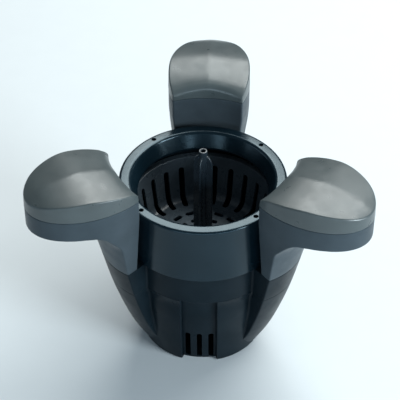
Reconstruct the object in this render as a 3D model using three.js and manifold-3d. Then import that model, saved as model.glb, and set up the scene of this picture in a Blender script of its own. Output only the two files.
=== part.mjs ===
// Floating pond skimmer: three hollow float arms stand on a ribbed pump housing. Water spills over a
// ring that floats up and down round the mouth, drops its leaves in a lift-out basket, runs through a
// foam filter and is pumped out through slots near the base. Millimetres, +Z up, origin at the centre
// of the base. The first float points along +Y.
import * as THREE from "three";
import { ConvexGeometry } from "three/addons/geometries/ConvexGeometry.js";
import { mergeVertices } from "three/addons/utils/BufferGeometryUtils.js";
import Module from "manifold-3d";

const wasm = await Module();
wasm.setup();

// ---------------------------------------------------------------- driving dimensions
const GAP = 0.3; // between pieces that rest on each other
const SLIDE = 1.0; // between pieces that slide past each other
const ROUND = 36; // sides of the large circles
const SMALL = 12; // sides of the small circles

// heights of the three stacked levels
const BASE_H = 122; // lower housing
const PAD_H = 40; // upper housing's pads, under the legs
const COLLAR_H = 76; // floating ring

// main radii
const COLLAR_R = 100;
const COLLAR_WALL = 2.5;
const BAND_GAP = 1.5; // band to the ring's wall
const BAND_R = COLLAR_R - COLLAR_WALL - BAND_GAP;
const BAND_WALL = 3;
const BASE_IN = 18; // base's set-back from the band
const BASE_R = BAND_R - BASE_IN;
const SHELL = 3; // lower housing's wall
const FLOAT_WALL = 2.5;

// floating ring
const MOUTH_IN = 13.8; // funnel's upper edge, in from the ring's outside
const LIP_IN = 22; // funnel's lower edge, in from the ring's outside
const LIP_CURL = 1.5; // the lip's inward curl
const LIP_RISE = 5; // height of the curl
const FUNNEL_H = 20;
const RING_EDGE = 1; // small chamfer on the ring's edges
const RING_HOLES = 4;
const RING_HOLE_R = 2.5;
const RING_HOLE_IN = 7;
const RING_TURN = -1.5; // degrees, the ring isn't keyed to the floats
const RING_FLOAT_H = 20.5;
const RING_FLOAT_BACK = 3.5; // foam's foot to the funnel

// floats: an ellipse in plan, cut by an arc round the ring
const ARMS = 3;
const ARM_TURN = 90; // degrees, the first arm's direction
const FLOAT_MID = COLLAR_R + 43;
const FLOAT_LONG = 76.6; // half length, along the radius
const FLOAT_WIDE = 51; // half width
const FLOAT_GAP = 10; // ring to float
const FLOAT_FLARE = 0.3; // widening towards the underside
const FLOAT_UNDER = 7.2; // underside above the ring's top
const SEAM_UP = 33.6; // lid seam above the ring's top
const LID_LAP = 0.5; // lid stands proud of the body
const LID_TAPER = 2; // lid's inward draft
const LID_RIM_H = 5;
const LID_RIM_T = 1.5;
const ROOF_SLOPE = 0.1; // fall of each roof side from the ridge
const ROOF_BEVEL = 7; // rounding along the inner edge
const BEVEL_UP = 6.6; // its foot above the lid seam
const DRAFT_TOP = 90; // height above the ring's top where the lid's draft is full
// ridge line of the lid: distance out from the ring's side, height above the ring's top
const RIDGE = [[-5, 45], [15, 53.8], [40, 60.2], [65, 62.8], [100, 57.2], [122, 47]];

// legs, pads and fins share one outer face: a body of revolution about a vertical axis FIN_AXIS from
// the centre, cut by two radial planes
const FIN_AXIS = BAND_R - 41;
const FIN_HALF_ANGLE = 19; // degrees
const FIN_WALL = 2.5;
// radius and height up to the seam of a base of full height
const FIN_LOWER = [[21.5, 0], [34.2, 24], [45.4, 50], [57.8, 88], [66.8, 122]];
const PAD_FACE = 75.4; // its radius at the top of the pad
const LEG_FACE = [[83, 48.5], [86.8, 33.5], [94, 22.5], [104.5, 9]]; // radius, depth under the float
const LEG_ROOT = 116; // its radius where it meets the float's underside
const LEG_FLOOR = 4;
const LEG_NEAR = 0.85; // start of the leg's hull, as a share of the inner arc's radius
const LEG_PAST = 12; // end of the leg's hull past the pad's face
const BOSS_R = 5;
const BOSS_H = 16;
const FLOAT_SCREW_AT = BAND_R + 22;
const FLOAT_SCREW_SIDE = 22;
const SCREW_R = 1.6;
const SCREW_HEAD_R = 3.6;
const SCREW_HEAD_H = 2.6;
const SCREW_LEN = 14;
const SCREW_FIT = 0.3;

// upper housing
const LEDGE_IN = 5.7; // basket ledge's reach from the band
const LEDGE_T = 3;
const LEDGE_DROP = 39; // ledge's top below the ring's top
const BAND_DROP = 26; // band's top below the ring's top
const PAD_TOP_T = 3;
const SPIGOT_T = 2.5;
const SPIGOT_H = 10;

// lower housing
// set-back from the band and height, for a base of full height
const FLANK = [[13.8, 26], [10.1, 51], [4.7, 87], [3.2, 110]];
const FLOOR_T = 3;
const CHANNEL_W = 43.5;
const CHANNEL_DEPTH = 6;
const SLOTS = 3;
const SLOT_PITCH = 14.3;
const SLOT_W = 6.6;
const SLOT_LOW = 3.6;
const SLOT_TOP = 52;
const CLIPS = 2;
const CLIP_PITCH = 21.2;
const CLIP_W = 5;
const CLIP_H = 4;
const CLIP_DROP = 4.5; // window's top below the seam
const RIB_T = 3;
const RIB_IN = 12; // support rib's reach from the wall
const RIB_BRACKET_H = 26; // its wider bracket under the deck
const RIB_BRACKET_IN = 5;
const RIB_BRACKET_OUT = 9; // bracket's end, in from the band
const CUTTER_IN = 28; // wall cutters start this far inside the base's outline

// leaf basket and lift post
const BASKET_WALL = 2;
const BASKET_TOP_R = BAND_R - BAND_WALL - LEDGE_IN - 1.3;
const BASKET_FOOT_R = BASKET_TOP_R - 7;
const BASKET_DEPTH = 61; // underside of its floor below the ledge
const BASKET_CORNER = 7;
const BASKET_RIM_T = 2.5;
const BASKET_SLOTS = 24;
const BASKET_SLOT_W = 7.2;
const BASKET_SLOT_IN = BASKET_FOOT_R - 17;
const BASKET_SLOT_DROP = 11; // slot's top below the ledge
const FLOOR_RINGS = [[0.516, 10], [0.758, 16]]; // share of the slots' inner radius, openings
const FLOOR_OPENING = [6, 0.68]; // width, and length as a share of the pitch
const POST_RISE = 39; // post's top above the ring's top
const POST_R = 5;
const POST_BORE = 3;
const POST_BORE_DEPTH = 90;
const WING_R = 12;
const WING_T = 2.4;
const WING_TURN = -17; // degrees
const WING_DROP = [7, 24]; // wing's top below the post's top, at the tube and at the tip
const POST_FOOT_R = 15;
const POST_FOOT_T = 2.5;
const POST_SPIGOT_R = 6;

// filter deck
const DECK_UP = 1.9; // above the pump's cover
const DECK_T = 3;
const DECK_HOLE_R = 15;
const DECK_RINGS = [[58, 6], [38, 9]]; // set-back from the band, number of openings
const DECK_OPENING_R = 6;
const FOAM_GAP = 1;
const FOAM_DROP = 10.4; // foam's top below the seam
const STRAINER_R = 21;
const STRAINER_H = 24;
const STRAINER_WALL = 1.8;
const STRAINER_SLOTS = 10;

// pump
const PUMP_R = 32;
const FOOT_R = 6;
const FOOT_H = 8;
const FOOT_AT = PUMP_R - 10;
const MOTOR_H = 46;
const WELL_R = 11;
const WELL_FLOOR = 7;
const MAGNET_R = 9.5;
const MAGNET_H = 32;
const SHAFT_R = 1.5;
const RUN_FIT = 0.3; // radial running clearance
const BUSH_R = 5;
const BUSH_H = 3;
const CHAMBER_R = PUMP_R - 11;
const CHAMBER_H = 14;
const COVER_WALL = 2.5;
const COVER_FLANGE_T = 3.2;
const INLET_R = 9;
const COLLAR_UP = 3.5;
const IMPELLER_R = CHAMBER_R - 5;
const IMPELLER_H = 9;
const VANES = 6;
const ORING_R = PUMP_R - 6;
const ORING_T = 1.1;
const COVER_SCREW_AT = PUMP_R - 2.8;
const COVER_SCREW_R = 1.3;
const COVER_SCREW_LEN = 11;
const PORT_R = 4;
const PORT_WALL = 1.5;
const PORT_STUB = 1.5; // port's end past the cover's flange
const ELBOW_OUT = 16;
const ELBOW_BEND = 10;
const ELBOW_DOWN = 14;

// cable gland, in the channel behind the left arm
const GLAND_ARM = 1;
const GLAND_Z = 65;
const GLAND_R = 6;
const GLAND_FLANGE_R = 8.5;
const GLAND_BORE = 3.5;
const GLAND_TILT = 8.5; // degrees, square to the wall

// ---------------------------------------------------------------- levels worked out from the above
const SEAM_LOW = BASE_H;
const PAD_TOP = SEAM_LOW + PAD_H;
const RING_TOP = PAD_TOP + COLLAR_H;
const MOUTH_R = COLLAR_R - MOUTH_IN;
const LIP_R = COLLAR_R - LIP_IN;
const LID_SEAM = RING_TOP + SEAM_UP;
const UNDERSIDE = RING_TOP + FLOAT_UNDER;
const ARM_INNER_R = COLLAR_R + FLOAT_GAP;
const BAND_TOP = RING_TOP - BAND_DROP;
const LEDGE_TOP = RING_TOP - LEDGE_DROP;
const BASKET_FLOOR = LEDGE_TOP - BASKET_DEPTH;
const BASKET_SLOT_TOP = LEDGE_TOP - BASKET_SLOT_DROP;
const STRETCH = SEAM_LOW / FIN_LOWER.at(-1)[1];
const SPIGOT_LOW = SEAM_LOW + GAP - SPIGOT_H;
const SPIGOT_R = flankRadius(SPIGOT_LOW) - CHANNEL_DEPTH - SHELL - GAP;
const CLIP_TOP = SEAM_LOW - CLIP_DROP;
const POST_TOP = RING_TOP + POST_RISE;
const MOTOR_Z = FLOOR_T + GAP + FOOT_H + GAP;
const MOTOR_TOP = MOTOR_Z + MOTOR_H;
const COVER_Z = MOTOR_TOP + GAP;
const COVER_TOP = COVER_Z + CHAMBER_H + COVER_WALL;
const DECK_Z = COVER_TOP + DECK_UP;
const DECK_TOP = DECK_Z + DECK_T;
const PORT_Z = COVER_Z + CHAMBER_H / 2;
const PORT_END = PUMP_R + PORT_STUB;
const FAR = 400; // blocks that only bound a cut reach past everything
const rad = THREE.MathUtils.degToRad;

// The lower housing's outline from the base to the seam, as [radius, height], set in by a wall.
function flankProfile(inset) {
  const middle = FLANK.map(([back, z]) => [BAND_R - back - inset, z * STRETCH]);
  return [[BASE_R - inset, 0], ...middle, [BAND_R - inset, SEAM_LOW]];
}

function flankRadius(z) {
  const side = flankProfile(0);
  const i = side.findIndex((p) => p[1] > z);
  const [[r0, z0], [r1, z1]] = [side[i - 1], side[i]];
  return r0 + ((r1 - r0) * (z - z0)) / (z1 - z0);
}

// ---------------------------------------------------------------- solids
// A closed geometry as a manifold solid, with its faces turned outwards.
function solid(geometry) {
  const bare = geometry.clone();
  bare.deleteAttribute("normal");
  bare.deleteAttribute("uv");
  const merged = mergeVertices(bare, 1e-4);
  const at = merged.attributes.position.array;
  const index = merged.index.array;
  const kept = [];
  let volume = 0;
  const a = new THREE.Vector3();
  const b = new THREE.Vector3();
  const c = new THREE.Vector3();
  for (let i = 0; i < index.length; i += 3) {
    const [p, q, r] = [index[i], index[i + 1], index[i + 2]];
    if (p === q || q === r || r === p) continue;
    kept.push(p, q, r);
    volume += a.fromArray(at, 3 * p).dot(b.fromArray(at, 3 * q).cross(c.fromArray(at, 3 * r)));
  }
  if (volume < 0) kept.reverse();
  const mesh = { numProp: 3, vertProperties: new Float32Array(at), triVerts: new Uint32Array(kept) };
  return new wasm.Manifold(new wasm.Mesh(mesh));
}

// A profile of [radius, z] points turned about the Z axis. A ring's profile is closed on itself.
function turned(profile, sides = ROUND) {
  const onAxis = profile[0][0] === 0;
  const points = onAxis ? profile : [...profile, profile[0]];
  const lathe = new THREE.LatheGeometry(points.map(([r, z]) => new THREE.Vector2(r, z)), sides);
  return solid(lathe.rotateX(Math.PI / 2));
}

function rod(r, z0, z1, sides = SMALL) {
  return turned([[0, z0], [r, z0], [r, z1], [0, z1]], sides);
}

function tube(r0, r1, z0, z1, sides = ROUND) {
  return turned([[r0, z0], [r1, z0], [r1, z1], [r0, z1]], sides);
}

function block(x0, x1, y0, y1, z0, z1) {
  const box = new THREE.BoxGeometry(x1 - x0, y1 - y0, z1 - z0);
  return solid(box.translate((x0 + x1) / 2, (y0 + y1) / 2, (z0 + z1) / 2));
}

// An outline of [x, y] points raised from z0 to z1.
function prism(outline, z0, z1) {
  const shape = new THREE.Shape(outline.map(([x, y]) => new THREE.Vector2(x, y)));
  const raised = new THREE.ExtrudeGeometry(shape, { depth: z1 - z0, bevelEnabled: false });
  return solid(raised.translate(0, 0, z0));
}

function hull(points) {
  return solid(new ConvexGeometry(points.map(([x, y, z]) => new THREE.Vector3(x, y, z))));
}

function joined(solids) {
  return solids.reduce((sum, next) => sum.add(next));
}

function spun(piece, degrees) {
  return piece.rotate([0, 0, degrees]);
}

// The same solid at every arm, or at every channel between two arms.
function aroundArms(piece, offset = 0) {
  const copies = [];
  for (let i = 0; i < ARMS; i++) copies.push(spun(piece, ARM_TURN + offset + (i * 360) / ARMS));
  return joined(copies);
}

const toChannel = 180 / ARMS;

// ---------------------------------------------------------------- materials
const finishes = {
  housing: { color: 0x1d262b, roughness: 0.42, metalness: 0 },
  ring: { color: 0x1f262c, roughness: 0.25, metalness: 0 },
  basket: { color: 0x15171b, roughness: 0.5, metalness: 0 },
  float: { color: 0x272e33, roughness: 0.5, metalness: 0 },
  lid: { color: 0x2e3538, roughness: 0.5, metalness: 0 },
  foam: { color: 0x20252a, roughness: 0.95, metalness: 0 },
  rubber: { color: 0x101010, roughness: 0.8, metalness: 0 },
  steel: { color: 0xb4b6b8, roughness: 0.3, metalness: 1 },
  pump: { color: 0x16191c, roughness: 0.45, metalness: 0 },
  impeller: { color: 0x3d6fa5, roughness: 0.4, metalness: 0 },
  magnet: { color: 0x3b3a38, roughness: 0.5, metalness: 0.3 },
  ceramic: { color: 0xe8e6e0, roughness: 0.2, metalness: 0 },
};

const skimmer = new THREE.Group();

function add(name, piece, finish) {
  const { vertProperties, triVerts } = piece.getMesh();
  const geometry = new THREE.BufferGeometry();
  geometry.setAttribute("position", new THREE.BufferAttribute(new Float32Array(vertProperties), 3));
  geometry.setIndex(new THREE.BufferAttribute(new Uint32Array(triVerts), 1));
  geometry.computeVertexNormals();
  const mesh = new THREE.Mesh(geometry, new THREE.MeshStandardMaterial(finishes[finish]));
  mesh.name = name;
  skimmer.add(mesh);
  return mesh;
}

// ---------------------------------------------------------------- the shared face of leg, pad and fin
function finProfile(inset) {
  const lower = FIN_LOWER.map(([r, z]) => [r - inset, z * STRETCH]);
  const leg = LEG_FACE.map(([r, depth]) => [r - inset, UNDERSIDE - depth]);
  return [...lower, [PAD_FACE - inset, PAD_TOP], ...leg, [LEG_ROOT - inset, UNDERSIDE + inset]];
}

// The turned body behind that face, between two heights, for the arm along +X.
function finBody(inset, z0, z1) {
  const profile = finProfile(inset);
  const ceiling = LID_SEAM + 10;
  const whole = turned([[0, 0], ...profile, [LEG_ROOT - inset, ceiling], [0, ceiling]]);
  return whole.translate([FIN_AXIS, 0, 0]).intersect(block(0, FAR, -FAR / 2, FAR / 2, z0, z1));
}

// Two radial planes, inset by a wall.
function wedge(inset, z0, z1) {
  const tip = inset / Math.sin(rad(FIN_HALF_ANGLE));
  const half = FAR * Math.tan(rad(FIN_HALF_ANGLE));
  return prism([[tip, 0], [tip + FAR, -half], [tip + FAR, half]], z0, z1);
}

// ---------------------------------------------------------------- floats
function ellipse(grow, count = 40) {
  const curve = new THREE.EllipseCurve(FLOAT_MID, 0, FLOAT_LONG + grow, FLOAT_WIDE + grow);
  return curve.getPoints(count).slice(0, count).map((p) => [p.x, p.y]);
}

// An elliptical block that widens from grow0 at z0 to grow1 at z1.
function drafted(grow0, grow1, z0, z1) {
  const low = ellipse(grow0).map(([x, y]) => [x, y, z0]);
  const high = ellipse(grow1).map(([x, y]) => [x, y, z1]);
  return hull([...low, ...high]);
}

// The leg: its sides run from the radial planes at the pad to the float's outline at the seam.
function leg(inset, z0) {
  const top = LID_SEAM - GAP;
  const spread = Math.tan(rad(FIN_HALF_ANGLE));
  const near = ARM_INNER_R * LEG_NEAR;
  const far = FIN_AXIS + PAD_FACE + LEG_PAST;
  const low = [[near, -1], [near, 1], [far, -1], [far, 1]];
  const foot = low.map(([x, side]) => [x, side * (x * spread - inset), PAD_TOP]);
  const head = ellipse(-inset).map(([x, y]) => [x, y, top]);
  return hull([...foot, ...head]).intersect(finBody(inset, z0, top));
}

function floatBody() {
  const top = LID_SEAM - GAP;
  const outer = drafted(FLOAT_FLARE, 0, UNDERSIDE, top).add(leg(0, PAD_TOP));
  const well = drafted(FLOAT_FLARE - FLOAT_WALL, -FLOAT_WALL, UNDERSIDE + FLOAT_WALL, top + 1);
  const legWell = leg(FLOAT_WALL, PAD_TOP + LEG_FLOOR);
  const innerWall = rod(ARM_INNER_R + FLOAT_WALL, 0, top + 10, ROUND);
  const hollow = well.add(legWell).subtract(innerWall);
  let body = outer.subtract(rod(ARM_INNER_R, 0, top + 10, ROUND)).subtract(hollow);
  for (const side of [-1, 1]) {
    const at = [FLOAT_SCREW_AT, side * FLOAT_SCREW_SIDE, 0];
    body = body.add(rod(BOSS_R, PAD_TOP + 1, PAD_TOP + BOSS_H).translate(at));
    body = body.subtract(rod(SCREW_R + SCREW_FIT, PAD_TOP - 1, PAD_TOP + BOSS_H + 1).translate(at));
  }
  return body;
}

// Everything above the lid's roof, lowered by drop: two halves that fall away from the ridge.
function aboveRoof(drop) {
  const ridge = RIDGE.map(([out, up]) => new THREE.Vector2(COLLAR_R + out, RING_TOP + up - drop));
  const line = new THREE.SplineCurve(ridge);
  const ceiling = RING_TOP + DRAFT_TOP + 30;
  const side = line.getPoints(10).map((p) => [p.x, p.y]);
  const [first, last] = [ridge[0].x, ridge.at(-1).x];
  const outline = [...side, [last, ceiling], [first, ceiling]];
  const reach = FLOAT_WIDE * 2;
  const overlap = 1; // each half runs on past the ridge, inside the other
  const upright = new THREE.Matrix4().makeRotationX(Math.PI / 2);
  const halves = [-1, 1].map((way) => {
    const shape = new THREE.Shape(outline.map(([x, z]) => new THREE.Vector2(x, z)));
    const cut = new THREE.ExtrudeGeometry(shape, { depth: reach + overlap, bevelEnabled: false });
    cut.applyMatrix4(upright).translate(0, way > 0 ? reach : overlap, 0);
    const fall = new THREE.Matrix4().set(1, 0, 0, 0, 0, 1, 0, 0, 0, -way * ROOF_SLOPE, 1, 0, 0, 0, 0, 1);
    return solid(cut.applyMatrix4(fall));
  });
  return joined(halves);
}

function floatLid() {
  const ceiling = RING_TOP + DRAFT_TOP;
  const bevelLow = LID_SEAM + BEVEL_UP;
  const bevel = turned([
    [0, PAD_TOP], [ARM_INNER_R, PAD_TOP], [ARM_INNER_R, bevelLow],
    [ARM_INNER_R + ROOF_BEVEL, bevelLow + 2 * ROOF_BEVEL], [ARM_INNER_R + ROOF_BEVEL, ceiling], [0, ceiling],
  ]);
  const outer = drafted(LID_LAP, LID_LAP - LID_TAPER, LID_SEAM, ceiling);
  const crown = outer.subtract(aboveRoof(0)).subtract(bevel);
  const inside = drafted(LID_LAP - FLOAT_WALL, LID_LAP - LID_TAPER - FLOAT_WALL, LID_SEAM - 1, ceiling);
  const back = rod(ARM_INNER_R + ROOF_BEVEL + FLOAT_WALL, 0, ceiling, ROUND);
  const hollow = inside.subtract(aboveRoof(FLOAT_WALL)).subtract(back);
  const rimOut = -FLOAT_WALL - GAP;
  const rimLow = LID_SEAM - LID_RIM_H;
  const rimBlock = drafted(rimOut, rimOut, rimLow, LID_SEAM + 1);
  const rimHole = drafted(rimOut - LID_RIM_T, rimOut - LID_RIM_T, rimLow - 1, LID_SEAM + 2);
  const rimIn = ARM_INNER_R + FLOAT_WALL + GAP;
  const rim = rimBlock.subtract(rod(rimIn, 0, ceiling, ROUND));
  const core = rimHole.subtract(rod(rimIn + LID_RIM_T, 0, ceiling, ROUND));
  return crown.subtract(hollow).add(rim.subtract(core));
}

function screw(r, headR, headH, length) {
  return turned([[0, -headH], [headR, -headH], [headR, 0], [r, 0], [r, length - r], [0, length]], 10);
}

const body = floatBody();
const lid = floatLid();
const floatScrew = screw(SCREW_R, SCREW_HEAD_R, SCREW_HEAD_H, SCREW_LEN);
const armNames = ["rear", "left", "right"];
armNames.forEach((name, i) => {
  const turn = ARM_TURN + (i * 360) / ARMS;
  const place = (piece) => spun(piece, turn);
  add(`float_body_${name}`, place(body), "float");
  add(`float_lid_${name}`, place(lid), "lid");
  [-1, 1].forEach((side, j) => {
    const under = PAD_TOP - GAP - PAD_TOP_T - GAP;
    const at = [FLOAT_SCREW_AT, side * FLOAT_SCREW_SIDE, under];
    add(`float_screw_${name}_${j + 1}`, place(floatScrew.translate(at)), "steel");
  });
});

// ---------------------------------------------------------------- floating ring
function floatingRing() {
  const top = RING_TOP;
  const lip = top - FUNNEL_H;
  const skin = COLLAR_WALL;
  const shell = turned([
    [COLLAR_R, PAD_TOP], [COLLAR_R, top - RING_EDGE], [COLLAR_R - RING_EDGE, top],
    [MOUTH_R + RING_EDGE, top], [MOUTH_R, top - RING_EDGE], [LIP_R + LIP_CURL, lip + LIP_RISE], [LIP_R, lip],
    [LIP_R + skin - 0.5, lip - 1], [LIP_R + LIP_CURL + skin, lip + LIP_RISE - 0.5],
    [MOUTH_R + skin, top - skin], [COLLAR_R - skin, top - skin], [COLLAR_R - skin, PAD_TOP],
  ]);
  let ring = shell;
  for (let i = 0; i < RING_HOLES; i++) {
    const hole = rod(RING_HOLE_R, top - 10, top + 1).translate([COLLAR_R - RING_HOLE_IN, 0, 0]);
    ring = ring.subtract(spun(hole, 180 / RING_HOLES + RING_TURN + (i * 360) / RING_HOLES));
  }
  return ring;
}

function ringFloat() {
  const high = RING_TOP - COLLAR_WALL - GAP;
  const low = high - RING_FLOAT_H;
  const out = COLLAR_R - COLLAR_WALL - GAP;
  const inTop = MOUTH_R + COLLAR_WALL + SLIDE;
  const inLow = LIP_R + COLLAR_WALL + RING_FLOAT_BACK;
  return turned([[out, low], [out, high], [inTop, high], [inLow, high - FUNNEL_H / 2], [inLow, low]]);
}

add("floating_ring", floatingRing(), "ring");
add("ring_float", ringFloat(), "foam");

// ---------------------------------------------------------------- leaf basket and lift post
function leafBasket() {
  const rimLow = LEDGE_TOP + GAP;
  const rimTop = rimLow + BASKET_RIM_T;
  const rimR = BAND_R - BAND_WALL - SLIDE;
  const t = BASKET_WALL;
  const floorTop = BASKET_FLOOR + t;
  const cornerR = BASKET_FOOT_R - BASKET_CORNER;
  const cornerZ = BASKET_FLOOR + BASKET_CORNER;
  let cup = turned([
    [0, BASKET_FLOOR], [cornerR, BASKET_FLOOR], [BASKET_FOOT_R, cornerZ], [BASKET_TOP_R, rimLow],
    [rimR, rimLow], [rimR, rimTop], [BASKET_TOP_R - t, rimTop], [BASKET_FOOT_R - t, cornerZ + 0.8],
    [cornerR - 0.8, floorTop], [0, floorTop],
  ]);
  const cuts = [];
  for (let i = 0; i < BASKET_SLOTS; i++) {
    const half = BASKET_SLOT_W / 2;
    const slot = block(BASKET_SLOT_IN, COLLAR_R, -half, half, BASKET_FLOOR - 1, BASKET_SLOT_TOP);
    cuts.push(spun(slot, ((i + 0.5) * 360) / BASKET_SLOTS));
  }
  for (const [share, count] of FLOOR_RINGS) {
    const r = share * BASKET_SLOT_IN;
    const wide = FLOOR_OPENING[0];
    const long = (FLOOR_OPENING[1] * 2 * Math.PI * r) / count;
    for (let i = 0; i < count; i++) {
      const opening = block(r - wide / 2, r + wide / 2, -long / 2, long / 2, BASKET_FLOOR - 1, floorTop + 1);
      cuts.push(spun(opening, (i * 360) / count));
    }
  }
  cuts.push(rod(POST_SPIGOT_R + GAP, BASKET_FLOOR - 1, floorTop + 1));
  cup = cup.subtract(joined(cuts));
  return cup;
}

function liftPost() {
  const foot = BASKET_FLOOR + BASKET_WALL + GAP;
  const stem = turned([
    [0, BASKET_FLOOR - 1], [POST_SPIGOT_R, BASKET_FLOOR - 1], [POST_SPIGOT_R, foot], [POST_FOOT_R, foot],
    [POST_FOOT_R, foot + POST_FOOT_T], [POST_R + 2, foot + POST_FOOT_T + 3], [POST_R, foot + 12],
    [POST_R, POST_TOP], [POST_BORE, POST_TOP], [POST_BORE, POST_TOP - POST_BORE_DEPTH],
    [0, POST_TOP - POST_BORE_DEPTH],
  ], 24);
  const [drop, tipDrop] = WING_DROP;
  const shoulder = new THREE.EllipseCurve(POST_R, POST_TOP - tipDrop, WING_R - POST_R, tipDrop - drop,
    0, Math.PI / 2);
  const inner = (POST_R + POST_BORE) / 2;
  const edge = shoulder.getPoints(5).map((p) => [p.x, p.y]);
  const side = [[inner, foot + 1], [WING_R, foot + 1], ...edge, [inner, POST_TOP - drop]];
  const shape = new THREE.Shape(side.map(([x, z]) => new THREE.Vector2(x, z)));
  const flat = new THREE.ExtrudeGeometry(shape, { depth: WING_T, bevelEnabled: false });
  const wing = solid(flat.rotateX(Math.PI / 2).translate(0, WING_T / 2, 0));
  let post = stem;
  for (let i = 0; i < 4; i++) post = post.add(spun(wing, WING_TURN + i * 90));
  return post;
}

add("leaf_basket", leafBasket(), "basket");
add("lift_post", liftPost(), "basket");

// ---------------------------------------------------------------- lower housing
// The turned body inside the flank's outline, between two heights.
function flankBody(inset, z0, z1) {
  const side = flankProfile(inset);
  const whole = turned([[0, -20], [side[0][0], -20], ...side, [side.at(-1)[0], z1 + 20], [0, z1 + 20]]);
  return whole.intersect(block(-FAR, FAR, -FAR, FAR, z0, z1));
}

function channelStrip(width, z0, z1) {
  return aroundArms(block(BASE_R / 2, FAR / 2, -width / 2, width / 2, z0, z1), toChannel);
}

// The space inside the lower housing's walls, kept clear of them by a margin.
function chamber(margin, z0, z1) {
  const inset = SHELL + margin;
  const strip = channelStrip(CHANNEL_W + 2 * inset, z0 - 1, z1 + 1);
  const deep = strip.subtract(flankBody(CHANNEL_DEPTH + inset, z0 - 2, z1 + 2));
  return flankBody(inset, z0, z1).subtract(deep);
}

function lowerHousing() {
  const top = SEAM_LOW;
  const fin = finBody(0, 0, top).intersect(wedge(0, -1, top + 1));
  const outer = flankBody(0, 0, top).add(aroundArms(fin));
  const finWell = finBody(FIN_WALL, FLOOR_T, top + 1).intersect(wedge(FIN_WALL, 0, top + 2));
  const hollowFins = aroundArms(finWell.subtract(flankBody(0, -1, top + 2)));
  const recess = channelStrip(CHANNEL_W, -1, top + 1).subtract(flankBody(CHANNEL_DEPTH, -2, top + 2));
  let housing = outer.subtract(recess).subtract(hollowFins).subtract(chamber(0, FLOOR_T, top + 1));
  const ribTop = DECK_Z - GAP;
  const rib = block(BASE_R - SHELL - RIB_IN, BASE_R, -RIB_T / 2, RIB_T / 2, FLOOR_T - 1, ribTop);
  const [ribNear, ribFar] = [BASE_R - RIB_BRACKET_IN, BAND_R - RIB_BRACKET_OUT];
  const bracket = block(ribNear, ribFar, -RIB_T / 2, RIB_T / 2, DECK_Z - RIB_BRACKET_H, ribTop);
  housing = housing.add(aroundArms(rib.add(bracket).intersect(flankBody(1, 0, top))));
  const cuts = [];
  const [near, far] = [BASE_R - CUTTER_IN, FAR / 2];
  for (let i = 0; i < SLOTS; i++) {
    const y = (i - (SLOTS - 1) / 2) * SLOT_PITCH;
    const half = SLOT_W / 2;
    const straight = block(near, far, y - half, y + half, SLOT_LOW, SLOT_TOP - half);
    const round = rod(half, near, far).rotate([0, 90, 0]).translate([0, y, SLOT_TOP - half]);
    cuts.push(straight.add(round));
  }
  for (let i = 0; i < CLIPS; i++) {
    const y = (i - (CLIPS - 1) / 2) * CLIP_PITCH;
    cuts.push(block(near, far, y - CLIP_W / 2, y + CLIP_W / 2, CLIP_TOP - CLIP_H, CLIP_TOP));
  }
  housing = housing.subtract(aroundArms(joined(cuts), toChannel));
  return housing.subtract(atGland(rod(GLAND_R + GAP, -20, 20)));
}

// Places a piece made along +Z on the gland's axis, with z = 0 on the channel's outer face.
function atGland(piece) {
  const turn = ARM_TURN + toChannel + ((GLAND_ARM - 1) * 360) / ARMS;
  const laid = piece.rotate([0, 90 + GLAND_TILT, 0]);
  return spun(laid.translate([flankRadius(GLAND_Z) - CHANNEL_DEPTH, 0, GLAND_Z]), turn);
}

function cableGland() {
  const wall = SHELL + 1;
  const body = turned([
    [GLAND_BORE, -wall - 6], [GLAND_R + 2, -wall - 6], [GLAND_R + 2, -wall], [GLAND_R, -wall],
    [GLAND_R, GAP * 2], [GLAND_FLANGE_R, GAP * 2], [GLAND_FLANGE_R, 2.6], [GLAND_R, 3.6],
    [GLAND_BORE + 1.5, 11], [GLAND_BORE, 11],
  ], SMALL);
  return atGland(body);
}

add("lower_housing", lowerHousing(), "housing");
add("cable_gland", cableGland(), "rubber");

// ---------------------------------------------------------------- upper housing
function upperHousing() {
  const low = SEAM_LOW + GAP;
  const padTop = PAD_TOP - GAP;
  const bandIn = BAND_R - BAND_WALL;
  const band = tube(bandIn, BAND_R, low, BAND_TOP);
  const ledge = tube(bandIn - LEDGE_IN, bandIn + 1, LEDGE_TOP - LEDGE_T, LEDGE_TOP);
  const shelf = tube(SPIGOT_R - SPIGOT_T, BAND_R - 1, low, low + SPIGOT_T);
  const spigot = tube(SPIGOT_R - SPIGOT_T, SPIGOT_R, SPIGOT_LOW, low + 1);
  const padOut = finBody(0, low, padTop).intersect(wedge(0, low - 1, padTop + 1));
  const padWell = finBody(FIN_WALL, low - 1, padTop - PAD_TOP_T).intersect(wedge(FIN_WALL, low - 2, padTop));
  let pad = padOut.subtract(rod(bandIn + 1, low - 5, padTop + 5, ROUND));
  pad = pad.subtract(padWell.subtract(rod(BAND_R, low - 5, padTop + 5, ROUND)));
  const holes = [-1, 1].map((side) => {
    const hole = rod(SCREW_R + SCREW_FIT, padTop - PAD_TOP_T - 1, padTop + 1);
    return hole.translate([FLOAT_SCREW_AT, side * FLOAT_SCREW_SIDE, 0]);
  });
  pad = pad.subtract(joined(holes));
  const nubs = [];
  for (let i = 0; i < CLIPS; i++) {
    const y = (i - (CLIPS - 1) / 2) * CLIP_PITCH;
    const high = CLIP_TOP - GAP;
    const low = CLIP_TOP - CLIP_H + GAP;
    const half = CLIP_W / 2 - GAP;
    const reach = flankRadius(low) - CHANNEL_DEPTH - GAP;
    nubs.push(block(SPIGOT_R - 2, reach, y - half, y + half, low, high));
  }
  const clips = aroundArms(joined(nubs), toChannel);
  return joined([band, ledge, shelf, spigot, aroundArms(pad), clips]);
}

add("upper_housing", upperHousing(), "housing");

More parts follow.
